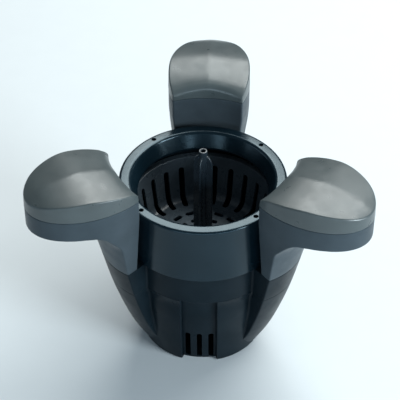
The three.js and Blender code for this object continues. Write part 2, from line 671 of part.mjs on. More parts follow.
// ---------------------------------------------------------------- filter deck
function filterDeck() {
  const plate = chamber(GAP, DECK_Z, DECK_TOP).subtract(rod(DECK_HOLE_R, 0, SEAM_LOW));
  const holes = [];
  for (const [back, count] of DECK_RINGS) {
    for (let i = 0; i < count; i++) {
      const hole = rod(DECK_OPENING_R, DECK_Z - 1, DECK_TOP + 1, 6).translate([BAND_R - back, 0, 0]);
      holes.push(spun(hole, (i * 360) / count));
    }
  }
  return plate.subtract(joined(holes));
}

function filterFoam() {
  const low = DECK_TOP + GAP;
  const foam = flankBody(CHANNEL_DEPTH + SHELL + FOAM_GAP, low, SEAM_LOW - FOAM_DROP);
  return foam.subtract(rod(STRAINER_R + 2 + FOAM_GAP, 0, SEAM_LOW, 32));
}

function intakeStrainer() {
  const low = DECK_TOP + GAP;
  const top = low + STRAINER_H;
  const t = STRAINER_WALL;
  const cage = turned([
    [DECK_HOLE_R - 2, low], [STRAINER_R + 2, low], [STRAINER_R + 2, low + t], [STRAINER_R, low + t],
    [STRAINER_R, top - 4], [STRAINER_R - 4, top], [0, top], [0, top - t], [STRAINER_R - 4.6, top - t],
    [STRAINER_R - t, top - 4.6], [STRAINER_R - t, low + t], [DECK_HOLE_R - 2, low + t],
  ], 24);
  const cuts = [];
  for (let i = 0; i < STRAINER_SLOTS; i++) {
    const slot = block(STRAINER_R - 6, STRAINER_R + 6, -1.6, 1.6, low + 4, top - 6);
    cuts.push(spun(slot, (i * 360) / STRAINER_SLOTS));
  }
  return cage.subtract(joined(cuts));
}

add("filter_deck", filterDeck(), "housing");
add("filter_foam", filterFoam(), "foam");
add("intake_strainer", intakeStrainer(), "pump");

// ---------------------------------------------------------------- pump
const WELL_Z = MOTOR_Z + WELL_FLOOR;
const SHAFT_LOW = WELL_Z + GAP;
const BUSH_TOP = WELL_Z + GAP + BUSH_H;
const IMPELLER_Z = COVER_Z + 1.5;
const SPIDER_Z = COVER_Z + CHAMBER_H - 1;

function pumpMotor() {
  const motor = turned([
    [0, MOTOR_Z], [PUMP_R - 3, MOTOR_Z], [PUMP_R, MOTOR_Z + 3], [PUMP_R, MOTOR_TOP], [WELL_R, MOTOR_TOP],
    [WELL_R, WELL_Z], [0, WELL_Z],
  ], 24);
  return motor.subtract(coverScrewHoles(MOTOR_TOP - COVER_SCREW_LEN, MOTOR_TOP + 1));
}

function coverScrewHoles(z0, z1) {
  return aroundArms(rod(COVER_SCREW_R + SCREW_FIT, z0, z1, 12).translate([COVER_SCREW_AT, 0, 0]));
}

function pumpCover() {
  const inR = CHAMBER_R;
  const outR = CHAMBER_R + COVER_WALL;
  const roof = COVER_Z + CHAMBER_H;
  let cover = turned([
    [inR, COVER_Z], [PUMP_R, COVER_Z], [PUMP_R, COVER_Z + COVER_FLANGE_T], [outR, COVER_Z + COVER_FLANGE_T],
    [outR, COVER_TOP], [INLET_R + 2, COVER_TOP], [INLET_R + 2, COVER_TOP + COLLAR_UP],
    [INLET_R, COVER_TOP + COLLAR_UP], [INLET_R, roof], [inR, roof],
  ], 24);
  const groove = tube(ORING_R - ORING_T - GAP, ORING_R + ORING_T + GAP, COVER_Z - 1,
    COVER_Z + 2 * ORING_T + GAP, 24);
  const bridge = block(-INLET_R - 1, INLET_R + 1, -1.5, 1.5, roof, COVER_TOP);
  const hub = rod(BUSH_R + 1.5, roof - 1, COVER_TOP);
  cover = cover.add(bridge).add(hub).subtract(rod(BUSH_R - 1 + GAP, roof - 2, roof + BUSH_H - 1));
  const port = rod(PORT_R + PORT_WALL, CHAMBER_R + 1, PORT_END);
  cover = cover.add(port.rotate([90, 0, 0]).translate([0, 0, PORT_Z]));
  const bore = rod(PORT_R, CHAMBER_R - 4, PORT_END + 1);
  cover = cover.subtract(bore.rotate([90, 0, 0]).translate([0, 0, PORT_Z]));
  return cover.subtract(groove).subtract(coverScrewHoles(COVER_Z - 1, COVER_Z + 10));
}

function impeller() {
  const bore = SHAFT_R + RUN_FIT;
  const hub = tube(bore, 4, IMPELLER_Z - 1.2, IMPELLER_Z + IMPELLER_H, SMALL);
  const disc = tube(bore, IMPELLER_R, IMPELLER_Z, IMPELLER_Z + 2, 24);
  const vane = block(3, IMPELLER_R, -0.9, 0.9, IMPELLER_Z + 1, IMPELLER_Z + IMPELLER_H);
  const vanes = [];
  for (let i = 0; i < VANES; i++) vanes.push(spun(vane, (i * 360) / VANES));
  return joined([hub, disc, ...vanes]);
}

function outletElbow() {
  const start = PORT_END + GAP;
  const path = new THREE.CurvePath();
  const corner = new THREE.Vector3(0, -start - ELBOW_OUT, PORT_Z);
  const before = new THREE.Vector3(0, -start - ELBOW_OUT + ELBOW_BEND, PORT_Z);
  const after = new THREE.Vector3(0, -start - ELBOW_OUT, PORT_Z - ELBOW_BEND);
  const end = new THREE.Vector3(0, -start - ELBOW_OUT, PORT_Z - ELBOW_BEND - ELBOW_DOWN);
  path.add(new THREE.LineCurve3(new THREE.Vector3(0, -start, PORT_Z), before));
  path.add(new THREE.QuadraticBezierCurve3(before, corner, after));
  path.add(new THREE.LineCurve3(after, end));
  const section = new THREE.Shape();
  section.absarc(0, 0, PORT_R + PORT_WALL, 0, 2 * Math.PI);
  const bore = new THREE.Path();
  bore.absarc(0, 0, PORT_R, 0, 2 * Math.PI);
  section.holes.push(bore);
  const options = { steps: 8, extrudePath: path, curveSegments: 5, bevelEnabled: false };
  return solid(new THREE.ExtrudeGeometry(section, options));
}

add("pump_motor", pumpMotor(), "pump");
add("pump_cover", pumpCover(), "pump");
add("outlet_elbow", outletElbow(), "pump");
add("impeller", impeller(), "impeller");
const magnetLow = BUSH_TOP + GAP;
const magnet = tube(SHAFT_R + RUN_FIT, MAGNET_R, magnetLow, magnetLow + MAGNET_H, SMALL);
add("rotor_magnet", magnet, "magnet");
add("impeller_shaft", rod(SHAFT_R, SHAFT_LOW, SPIDER_Z + BUSH_H), "ceramic");
add("shaft_bush_lower", tube(SHAFT_R + GAP, BUSH_R, SHAFT_LOW, BUSH_TOP, SMALL), "rubber");
add("shaft_bush_upper", tube(SHAFT_R + GAP, BUSH_R - 1, SPIDER_Z, SPIDER_Z + BUSH_H, SMALL), "rubber");

const oringMid = COVER_Z + ORING_T;
const oringSection = [0, 1, 2, 3, 4, 5].map((i) => {
  const turn = (i * Math.PI) / 3;
  return [ORING_R + ORING_T * Math.cos(turn), oringMid + ORING_T * Math.sin(turn)];
});
add("cover_o_ring", turned(oringSection, 24), "rubber");

const coverScrew = screw(COVER_SCREW_R, 2.4, 1.8, COVER_SCREW_LEN + COVER_FLANGE_T - 1);
const foot = turned([[0, 0], [FOOT_R, 0], [FOOT_R - 1, FOOT_H], [0, FOOT_H]], SMALL);
for (let i = 0; i < ARMS; i++) {
  const turn = ARM_TURN + (i * 360) / ARMS;
  const head = COVER_Z + COVER_FLANGE_T + GAP;
  const fixed = coverScrew.rotate([180, 0, 0]).translate([COVER_SCREW_AT, 0, head]);
  add(`cover_screw_${i + 1}`, spun(fixed, turn), "steel");
  add(`pump_foot_${i + 1}`, spun(foot.translate([FOOT_AT, 0, FLOOR_T + GAP]), turn), "rubber");
}

export default skimmer;
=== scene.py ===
"""Floating pond skimmer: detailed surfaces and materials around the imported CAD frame.

Shapes are worked out in millimetres and scaled to metres when each mesh is made. An arm's own
frame has u along its radius and v across it; arms stand at 90, 210 and 330 degrees.
"""

import math

import bmesh
import bpy
import numpy as np
from mathutils import Matrix, Vector


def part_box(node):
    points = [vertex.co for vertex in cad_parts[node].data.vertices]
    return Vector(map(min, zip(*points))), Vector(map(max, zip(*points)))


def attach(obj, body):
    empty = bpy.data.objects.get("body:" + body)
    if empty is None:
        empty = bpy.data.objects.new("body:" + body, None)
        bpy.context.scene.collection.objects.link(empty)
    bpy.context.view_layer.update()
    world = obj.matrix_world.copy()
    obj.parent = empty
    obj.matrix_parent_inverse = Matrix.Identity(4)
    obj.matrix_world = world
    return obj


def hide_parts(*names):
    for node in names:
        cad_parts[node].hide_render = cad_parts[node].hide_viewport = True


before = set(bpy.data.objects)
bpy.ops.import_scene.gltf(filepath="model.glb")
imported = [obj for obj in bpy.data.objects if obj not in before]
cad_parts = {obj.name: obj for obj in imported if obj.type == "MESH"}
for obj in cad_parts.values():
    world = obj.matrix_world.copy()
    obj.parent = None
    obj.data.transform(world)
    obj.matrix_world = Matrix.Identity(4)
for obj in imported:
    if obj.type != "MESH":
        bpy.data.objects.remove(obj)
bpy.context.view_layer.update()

MM = 0.001
ARMS = {"rear": 90, "left": 210, "right": 330}     # degrees about +Z
CHANNELS = (270, 30, 150)                          # between the arms


def cad(node):
    """Lowest and highest corner of a CAD node, in millimetres."""
    low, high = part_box(node)
    return low / MM, high / MM


# ------------------------------------------------------------------ sizes taken from the frame
RING_LOW, RING_HIGH = cad("floating_ring")
COLLAR_R = RING_HIGH.x
RING_TOP = RING_HIGH.z
PAD_TOP = RING_LOW.z
SEAM_LOW = cad("lower_housing")[1].z
BAND_TOP = cad("upper_housing")[1].z
LID_SEAM = cad("float_body_rear")[1].z
LEG_FOOT = cad("float_body_rear")[0].z
BASKET_LOW, BASKET_HIGH = cad("leaf_basket")
POST_TOP = cad("lift_post")[1].z

# ------------------------------------------------------------------ sizes shared by the pieces
GAP = 0.3                       # between parts that meet
BAND_R = 96                     # upper housing's band
BAND_WALL = 3
BASE_R = 78                     # bowl's flank at the foot
SHELL = 3                       # bowl's wall
MOUTH_R = 86.2                  # funnel's wide end
LIP_R = 78                      # funnel's narrow end
FUNNEL_H = 20
COLLAR_WALL = 2.5
RING_TURN = -1.5                # degrees, turns the ring's four holes
RING_HOLES = 4
FLOAT_MID = 143                 # centre of a float's elliptical outline, along the arm
FLOAT_LONG = 76.6               # its half length and half width
FLOAT_WIDE = 51
ARM_INNER_R = COLLAR_R + 10     # arc that ends an arm beside the collar
FLOAT_FLARE = 0.3               # extra half width at the underside
FLARE_FROM, FLARE_OVER = 120, 50          # it starts here and is full this much further out
LEG_MEETS = (150, 200)          # where the leg's face can cross the float's outline
UNDERSIDE = RING_TOP + 7.2
FLOAT_WALL = 2.5
FLOAT_CORNER = 2.5              # corners of the outline beside the collar
WELL_CORNER = 2.0               # the same inside the wall
LID_LAP = 0.25                  # lid's rim past the body's
LID_TAPER = 0.6                 # inward lean of the lid's wall
ROOF_SLOPE = 0.1                # fall of the lid to either side of its ridge
RIDGE_R = 0.8                   # softness of the ridge, and how much softer it gets in front
RIDGE_R_MORE = 5
SOFTER_FROM, SOFTER_OVER = 150, 60
STRIP_W = 11                    # sloped strip along the lid's inner arc
STRIP_SLOPE = 0.12
LEG_EDGE = 1.6                  # rounding of the leg's edges
FIN_AXIS = 55                   # axis of the arcs that face the fins and legs
FIN_ANGLE = math.radians(19)    # half angle between a fin's radial sides
HOUSING_EDGE = 1.4              # rounding of fin and channel edges
CHANNEL_W = 43.5
CHANNEL_DEPTH = 6
SLOT_PITCH = 14.3
SLOT_W = 6.6
SLOT_LOW = 3.6
SLOT_TOP = 52
WINDOW_HALF = 2.5               # small windows near the top of each channel
WINDOW_SHIFT = 10.6
SPIGOT_H = 10                   # upper housing's spigot in the bowl
LEDGE_W = 5.7                   # ledge that the basket hangs on
LEDGE_DROP = 39                 # its depth below the ring's top
GLAND_R = 6.3
GLAND_Z = 65
GLAND_TILT = 98.5               # degrees from +Z, square to the channel's floor
BASKET_SLOTS = 24
BASKET_SLOT_TOP = 188
BASKET_SLOT_HALF = 3.6
BASKET_OPENINGS = ((32, 10), (47, 16))    # radius and count of each row in the floor
OPENING_HALF_SHARE = 0.34       # half an opening's length, as a share of its pitch
POST_TURN = -17                 # degrees, one of the post's two crossed plates

# (distance along the arm, height over the ring's top) of the lid's ridge
RIDGE = [(95, 44.9), (115, 53.7), (140, 60.1), (165, 62.7), (200, 57.1), (222, 46.9)]
# (radius about FIN_AXIS, height) of the face of a fin, its pad and its leg
FIN_FACE = [(21.5, 0), (34.2, 24), (45.4, 50), (57.8, 88), (66.8, SEAM_LOW), (75.4, PAD_TOP),
            (83, UNDERSIDE - 48.5), (86.8, UNDERSIDE - 33.5), (94, UNDERSIDE - 22.5),
            (104.5, UNDERSIDE - 9), (113.5, UNDERSIDE - 2.5), (124.5, UNDERSIDE)]
# (radius, height) of the bowl between the fins
FLANK = [(BASE_R, 0), (82.2, 26), (85.9, 51), (91.3, 87), (92.8, 110), (BAND_R, SEAM_LOW)]

# steps of the arms' outlines: each side, the front, each corner and the inner arc
SIDE_N, FRONT_N, BEND_N, INNER_N = 26, 90, 6, 40
SHARP = 32                      # degrees, the least angle of an edge that stays sharp


# ------------------------------------------------------------------ curves and meshes
def spline(points, count=8):
    """Catmull-Rom curve through 2D points, count steps in each span."""
    p = [np.array(q, float) for q in points]
    p = [2 * p[0] - p[1], *p, 2 * p[-1] - p[-2]]
    out = []
    for i in range(1, len(p) - 2):
        for k in range(count):
            t = k / count
            out.append(0.5 * (2 * p[i] + (p[i + 1] - p[i - 1]) * t
                              + (2 * p[i - 1] - 5 * p[i] + 4 * p[i + 1] - p[i + 2]) * t ** 2
                              + (3 * p[i] - p[i - 1] - 3 * p[i + 1] + p[i + 2]) * t ** 3))
    out.append(p[-2])
    return np.array(out)


FIN_CURVE = spline(FIN_FACE)
FLANK_CURVE = spline(FLANK)
RIDGE_CURVE = spline([(u, RING_TOP + z) for u, z in RIDGE])


def at_height(curve, z):
    """First coordinate of a rising curve at height z."""
    return float(np.interp(z, curve[:, 1], curve[:, 0]))


def arc(radius, a0, a1, count, centre=(0, 0)):
    turns = np.linspace(a0, a1, count)
    return [(centre[0] + radius * math.cos(t), centre[1] + radius * math.sin(t)) for t in turns]


def between(p, q, t):
    return tuple(np.array(p) + (np.array(q) - np.array(p)) * t)


def line(p, q, count):
    return [between(p, q, t) for t in np.linspace(0, 1, count)]


def bend(p, corner, q, count):
    """Rounded corner from p to q."""
    p, c, q = (np.array(x, float) for x in (p, corner, q))
    return [tuple((1 - t) ** 2 * p + 2 * t * (1 - t) * c + t * t * q)
            for t in np.linspace(0, 1, count)]


def turn2(points, degrees):
    c, s = math.cos(math.radians(degrees)), math.sin(math.radians(degrees))
    return [(c * x - s * y, s * x + c * y) for x, y in points]


def mesh_object(name, verts, faces, sharp=SHARP):
    """A clean closed mesh from millimetres, smooth except at real edges."""
    mesh = bpy.data.meshes.new(name)
    mesh.from_pydata([Vector(v) * MM for v in verts], [], faces)
    obj = bpy.data.objects.new(name, mesh)
    bpy.context.scene.collection.objects.link(obj)
    tidy(obj, sharp)
    return obj


def tidy(obj, sharp=SHARP):
    """Welds doubled points, drops slivers, turns faces outwards and marks the sharp edges."""
    work = bmesh.new()
    work.from_mesh(obj.data)
    bmesh.ops.remove_doubles(work, verts=work.verts, dist=0.01 * MM)
    bmesh.ops.dissolve_degenerate(work, edges=work.edges, dist=0.004 * MM)
    bmesh.ops.recalc_face_normals(work, faces=work.faces)
    work.to_mesh(obj.data)
    work.free()
    obj.data.polygons.foreach_set("use_smooth", [True] * len(obj.data.polygons))
    obj.data.set_sharp_from_angle(angle=math.radians(sharp))
    obj.data.update()


def loft(name, rows, closed=False, cap_end=True, sharp=SHARP):
    """Skins equal rings of points, capped at the ends or joined end to end."""
    n = len(rows[0])
    verts = [v for row in rows for v in row]
    faces = []
    for i in range(len(rows) if closed else len(rows) - 1):
        a, b = i * n, ((i + 1) % len(rows)) * n
        faces += [(a + k, a + (k + 1) % n, b + (k + 1) % n, b + k) for k in range(n)]
    if not closed:
        faces.append(tuple(reversed(range(n))))
        if cap_end:
            faces.append(tuple(range((len(rows) - 1) * n, len(rows) * n)))
    return mesh_object(name, verts, faces, sharp)


def turned(name, profile, sides):
    """A profile of (radius, z) turned about the Z axis; it closes on itself or ends on the axis."""
    rows = []
    on_axis = profile[0][0] == 0
    for i in range(sides):
        t = 2 * math.pi * i / sides
        rows.append([(r * math.cos(t), r * math.sin(t), z) for r, z in profile])
    n = len(profile)
    faces = []
    for i in range(sides):
        a, b = i * n, ((i + 1) % sides) * n
        faces += [(a + k, a + k + 1, b + k + 1, b + k) for k in range(n - 1)]
        if not on_axis:
            faces.append((a + n - 1, a, b, b + n - 1))
    return mesh_object(name, [v for row in rows for v in row], faces)


def rounded(profile, radius, steps=5):
    """Rounds each corner of a closed or open profile. radius is one value, or one per point."""
    n = len(profile)
    radii = radius if isinstance(radius, (list, tuple)) else [radius] * n
    out = []
    for i, point in enumerate(profile):
        p = np.array(point, float)
        before = np.array(profile[i - 1], float) - p
        after = np.array(profile[(i + 1) % n], float) - p
        cut = min(radii[i], 0.45 * np.linalg.norm(before), 0.45 * np.linalg.norm(after))
        if cut < 0.02 or point[0] == 0:
            out.append(tuple(p))
            continue
        start = p + before / np.linalg.norm(before) * cut
        end = p + after / np.linalg.norm(after) * cut
        out += bend(start, p, end, steps)
    return out


def prism(outline, z0, z1):
    """Vertices and faces of a straight block over an outline."""
    n = len(outline)
    verts = [(x, y, z0) for x, y in outline] + [(x, y, z1) for x, y in outline]
    faces = [(k, (k + 1) % n, n + (k + 1) % n, n + k) for k in range(n)]
    return verts, faces + [tuple(reversed(range(n))), tuple(range(n, 2 * n))]


def many(name, blocks):
    """One object out of several (verts, faces) blocks."""
    verts, faces = [], []
    for v, f in blocks:
        faces += [tuple(i + len(verts) for i in face) for face in f]
        verts += v
    return mesh_object(name, verts, faces)


def moved(block, matrix):
    verts, faces = block
    return [tuple(matrix @ Vector(v)) for v in verts], faces


def about_z(degrees):
    return Matrix.Rotation(math.radians(degrees), 4, "Z")


def cut(obj, tool, operation="DIFFERENCE", sharp=SHARP):
    """Cuts tool out of obj, or joins it, and removes the tool."""
    mod = obj.modifiers.new("cut", "BOOLEAN")
    mod.operation = operation
    mod.solver = "EXACT"
    mod.object = tool
    graph = bpy.context.evaluated_depsgraph_get()
    graph.update()
    mesh = bpy.data.meshes.new_from_object(obj.evaluated_get(graph))
    obj.modifiers.clear()
    old = obj.data
    obj.data = mesh
    bpy.data.meshes.remove(old)
    bpy.data.objects.remove(tool)
    tidy(obj, sharp)


def crisp(obj):
    """Keeps flat faces flat beside their rounded edges."""
    mod = obj.modifiers.new("weighted", "WEIGHTED_NORMAL")
    mod.keep_sharp = True
    return obj


# ------------------------------------------------------------------ float arms
def smooth(t):
    """0 to 1, eased at both ends."""
    t = min(1.0, max(0.0, t))
    return t * t * (3 - 2 * t)


def soft_grow(u, grow):
    """The share of grow that counts at u: none near the leg, all towards the front."""
    return grow * smooth((u - FLARE_FROM) / FLARE_OVER)


def half_width(u, grow, even=False):
    """Half width of the float's elliptical outline at distance u."""
    g = grow if even else soft_grow(u, grow)
    x = (u - FLOAT_MID) / (FLOAT_LONG + g)
    return (FLOAT_WIDE + g) * math.sqrt(max(0.0, 1 - x * x))


def bisect(test, low, high):
    """Where test turns true between low and high."""
    for _ in range(40):
        mid = (low + high) / 2
        low, high = (low, mid) if test(mid) else (mid, high)
    return (low + high) / 2


def side_and_corner(half, inner_r, corner, u_end):
    """The side from its rounded inner corner out to u_end, for v > 0, and the corner itself."""
    u_c = bisect(lambda u: math.hypot(u, half(u)) > inner_r, FLOAT_MID - FLOAT_LONG + 1, inner_r)
    start = u_c + 0.9 * corner
    side = [(u, half(u)) for u in np.linspace(start, u_end, SIDE_N)]
    turn = math.atan2(half(u_c), u_c)
    turn_in = turn - corner / inner_r
    on_arc = (inner_r * math.cos(turn_in), inner_r * math.sin(turn_in))
    return side, bend(side[0], (u_c, half(u_c)), on_arc, BEND_N), turn_in


def ring_outline(half, inner_r, corner, u_end, front):
    """Closed outline: side, front, side, corner, inner arc, corner."""
    side, nook, turn = side_and_corner(half, inner_r, corner, u_end)
    mirror = [(u, -v) for u, v in side]
    nook_back = [(u, -v) for u, v in reversed(nook)]
    inner = arc(inner_r, turn, -turn, INNER_N)
    return mirror[:-1] + front + side[::-1][1:-1] + nook[:-1] + inner + nook_back[1:-1]


def float_outline(grow, inner_r, corner, even=False):
    """The float's closed outline, grown outwards by grow all round (even) or only in front."""
    def half(u):
        return half_width(u, grow, even)

    leg_face = FIN_CURVE[-1, 0]
    split = bisect(lambda u: math.hypot(u - FIN_AXIS, half(u)) > leg_face, *LEG_MEETS)
    long = FLOAT_LONG + (grow if even else soft_grow(split, grow))
    turn = math.acos((split - FLOAT_MID) / long)
    front = []
    for t in np.linspace(-turn, turn, FRONT_N):
        u = FLOAT_MID + FLOAT_LONG * math.cos(t)
        g = grow if even else soft_grow(u, grow)
        front.append((FLOAT_MID + (FLOAT_LONG + g) * math.cos(t), (FLOAT_WIDE + g) * math.sin(t)))
    return ring_outline(half, inner_r, corner, split, front)


def leg_outline(rho, z, edge, inset=0.0):
    """The leg's section: its sides lean from the pad's radial planes to the float's outline."""
    lean = min(1.0, (z - PAD_TOP) / (UNDERSIDE - PAD_TOP))

    def half(u):
        on_pad = (1 - lean) * u * math.tan(FIN_ANGLE)
        return on_pad + lean * half_width(u, FLOAT_FLARE) - inset

    rho = rho - inset
    u_e = bisect(lambda u: math.hypot(u - FIN_AXIS, half(u)) > rho, ARM_INNER_R, FIN_AXIS + rho)
    meet = math.asin(min(1.0, half(u_e) / rho)) - edge / rho
    start = (u_e - edge, half(u_e - edge))
    finish = (FIN_AXIS + rho * math.cos(meet), rho * math.sin(meet))
    curl = bend(start, (u_e, half(u_e)), finish, BEND_N)
    face = arc(rho, -meet, meet, FRONT_N - 2 * (BEND_N - 1), (FIN_AXIS, 0))
    front = [(u, -v) for u, v in curl[:-1]] + face + curl[::-1][1:]
    return ring_outline(half, ARM_INNER_R + inset, FLOAT_CORNER, u_e - edge, front)


def float_body(name, degrees):
    """Float shell and leg in one skin: an open well on top, walls, underside, leg and foot."""
    rows = []

    def row(outline, z):
        rows.append([(x, y, z) for x, y in turn2(outline, degrees)])

    # the well and the rim that the lid sits on
    chamfer = 0.3
    inset = float_outline(-FLOAT_WALL, ARM_INNER_R + FLOAT_WALL, WELL_CORNER, even=True)
    row(inset, UNDERSIDE + FLOAT_WALL)
    row(inset, LID_SEAM - chamfer)
    row(float_outline(chamfer - FLOAT_WALL, ARM_INNER_R + FLOAT_WALL - chamfer, WELL_CORNER,
                      even=True), LID_SEAM)
    for drop, back in ((0, 1.0), (0.3, 0.4), (0.6, 0.12), (1.0, 0)):
        row(float_outline(-back, ARM_INNER_R + back, FLOAT_CORNER, even=True), LID_SEAM - drop)

    # the outer wall, and the rounded lower edge that fades out towards the leg
    edge, fade = 1.2, 12
    depth = LID_SEAM - UNDERSIDE
    for t in np.linspace(0.1, 1 - edge / depth, 7):
        row(float_outline(FLOAT_FLARE * t, ARM_INNER_R, FLOAT_CORNER), LID_SEAM - depth * t)
    full = float_outline(FLOAT_FLARE, ARM_INNER_R, FLOAT_CORNER)
    tucked = float_outline(FLOAT_FLARE - edge, ARM_INNER_R, FLOAT_CORNER)
    share = []
    for i in range(len(full)):
        k = i - (SIDE_N - 1)
        share.append(smooth(min(k, FRONT_N - 1 - k) / fade) if 0 <= k < FRONT_N else 0.0)

    def tuck(amount):
        return [between(p, q, s * amount) for p, q, s in zip(full, tucked, share)]

    for turn in np.linspace(math.pi / 8, math.pi / 2, 4):
        row(tuck(1 - math.cos(turn)), UNDERSIDE + edge * (1 - math.sin(turn)))

    # the underside, then the leg down to its foot on the pad
    root = leg_outline(FIN_CURVE[-1, 0], UNDERSIDE, 0.01)
    rim = tuck(1.0)
    for t in np.linspace(0, 1, 7)[1:]:
        row([between(p, q, t) for p, q in zip(rim, root)], UNDERSIDE)
    leg = [(rho, z) for rho, z in FIN_CURVE[::-1] if z > PAD_TOP + 1]
    for i, (rho, z) in enumerate(leg[1:]):
        row(leg_outline(rho, z, LEG_EDGE * smooth((i + 1) / 8)), z)
    foot = at_height(FIN_CURVE, PAD_TOP)
    for up, back in ((0.5, 0.0), (0.15, 0.15), (0.0, 0.5)):
        row(leg_outline(foot, LEG_FOOT + up, LEG_EDGE, back), LEG_FOOT + up)
    return crisp(loft(name, rows, sharp=40))


def roof(u, v):
    """Lid surface: two slopes off a radial ridge that softens outwards, and the inner strip."""
    soften = RIDGE_R + RIDGE_R_MORE * smooth((u - SOFTER_FROM) / SOFTER_OVER)
    fall = ROOF_SLOPE * (math.hypot(v, soften) - soften)
    strip = STRIP_SLOPE * max(0.0, STRIP_W - (math.hypot(u, v) - ARM_INNER_R))
    return float(np.interp(u, RIDGE_CURVE[:, 0], RIDGE_CURVE[:, 1])) - fall - strip


def float_lid(name, degrees):
    """Lid: open rim below, walls that lean in, rounded edges and the ridged roof."""
    rows = []
    low = LID_SEAM + GAP

    def row(outline, heights):
        flat = [heights] * len(outline) if isinstance(heights, float) else heights
        rows.append([(x, y, z) for (x, y), z in zip(turn2(outline, degrees), flat)])

    inset = float_outline(LID_LAP - FLOAT_WALL, ARM_INNER_R + FLOAT_WALL, WELL_CORNER, even=True)
    row(inset, low + 8.0)
    row(inset, low)
    for up, back in ((0.0, 0.9), (0.25, 0.35), (0.5, 0.1), (0.9, 0.0)):
        row(float_outline(LID_LAP - back, ARM_INNER_R + back, FLOAT_CORNER, even=True), low + up)

    # the edge's rounding: small along the sides and front, larger along the inner arc
    side_r, inner_r, fade = 1.8, 6.0, 10
    total = 2 * (SIDE_N - 1) + FRONT_N - 1
    radii = []
    for i in range(len(inset)):
        k = i - total
        radii.append(side_r + (inner_r - side_r) * smooth(min(k, len(inset) - total - k) / fade))
    for t in (0.25, 0.5, 0.75, 1.0):
        outline = float_outline(LID_LAP - LID_TAPER * t, ARM_INNER_R, FLOAT_CORNER, even=True)
        heights = [low + (roof(u, v) - r - low) * t for (u, v), r in zip(outline, radii)]
        row(outline, heights)
    for turn in np.linspace(0, math.pi / 2, 8)[1:]:
        back = 1 - math.cos(turn)
        outline = float_outline(LID_LAP - LID_TAPER - side_r * back,
                                ARM_INNER_R + inner_r * back, FLOAT_CORNER, even=True)
        row(outline, [roof(u, v) - r * (1 - math.sin(turn)) for (u, v), r in zip(outline, radii)])
    for back in (2.5, 5, 9):
        outline = float_outline(LID_LAP - LID_TAPER - side_r - back,
                                ARM_INNER_R + inner_r + back, WELL_CORNER, even=True)
        row(outline, [roof(u, v) for u, v in outline])

    # the rest of the roof gathers onto a spine along the ridge
    spine_in, spine_out = ARM_INNER_R + 19, FLOAT_MID + FLOAT_LONG - 30
    for t in np.linspace(0, 1, 14)[1:]:
        flat = []
        for u, v in outline:
            target = min(spine_out, max(spine_in, u))
            flat.append((u + (target - u) * t, v * (1 - t)))
        row(flat, [roof(u, v) for u, v in flat])
    return crisp(loft(name, rows, cap_end=False, sharp=50))


# ------------------------------------------------------------------ collar, basket, post
def floating_ring():
    """The rising collar: flat annulus, funnel down to the basket, turned-in lip, open below."""
    top, low = RING_TOP, PAD_TOP
    inner = COLLAR_R - COLLAR_WALL
    lip = top - FUNNEL_H
    profile = [(COLLAR_R, low), (COLLAR_R, top), (MOUTH_R, top), (LIP_R, lip + 1),
               (LIP_R, lip - 1), (LIP_R + 2, lip - 1), (LIP_R + 2, lip + 0.8),
               (MOUTH_R + 2, top - COLLAR_WALL - 1), (inner, top - COLLAR_WALL), (inner, low)]
    radii = [0.6, 3.6, 3.2, 0.8, 0.7, 0.7, 0.5, 1.0, 2.0, 0.6]
    ring = turned("collar", rounded(profile, radii, 7), 240)
    mid = (COLLAR_R + MOUTH_R) / 2
    drills = []
    for k in range(RING_HOLES):
        turn = math.radians(45 + 360 / RING_HOLES * k + RING_TURN)
        hole = [(2.5, top - COLLAR_WALL - 1), (2.5, top - 0.6), (3.1, top), (3.1, top + 1)]
        drills.append(lathe_block(hole, (mid * math.cos(turn), mid * math.sin(turn))))
    cut(ring, many("drills", drills))
    return crisp(ring)


def lathe_block(profile, centre, sides=28):
    """Vertices and faces of a turned plug standing at centre."""
    verts, faces = [], []
    for r, z in profile:
        verts += [(centre[0] + r * math.cos(2 * math.pi * k / sides),
                   centre[1] + r * math.sin(2 * math.pi * k / sides), z) for k in range(sides)]
    for i in range(len(profile) - 1):
        a, b = i * sides, (i + 1) * sides
        faces += [(a + k, a + (k + 1) % sides, b + (k + 1) % sides, b + k) for k in range(sides)]
    faces.append(tuple(range(sides)))
    faces.append(tuple(reversed(range((len(profile) - 1) * sides, len(profile) * sides))))
    return verts, faces


def ring_float():
    """Foam block under the funnel that carries the ring."""
    low, high = cad("ring_float")
    out = high.x - 0.2
    top_in = MOUTH_R + COLLAR_WALL + 1
    low_in = LIP_R + COLLAR_WALL + 3.5
    profile = [(out, low.z + 0.2), (out, high.z - 0.2), (top_in, high.z - 0.2),
               (low_in, high.z - FUNNEL_H / 2), (low_in, low.z + 0.2)]
    return turned("float_foam", rounded(profile, 1.5), 160)


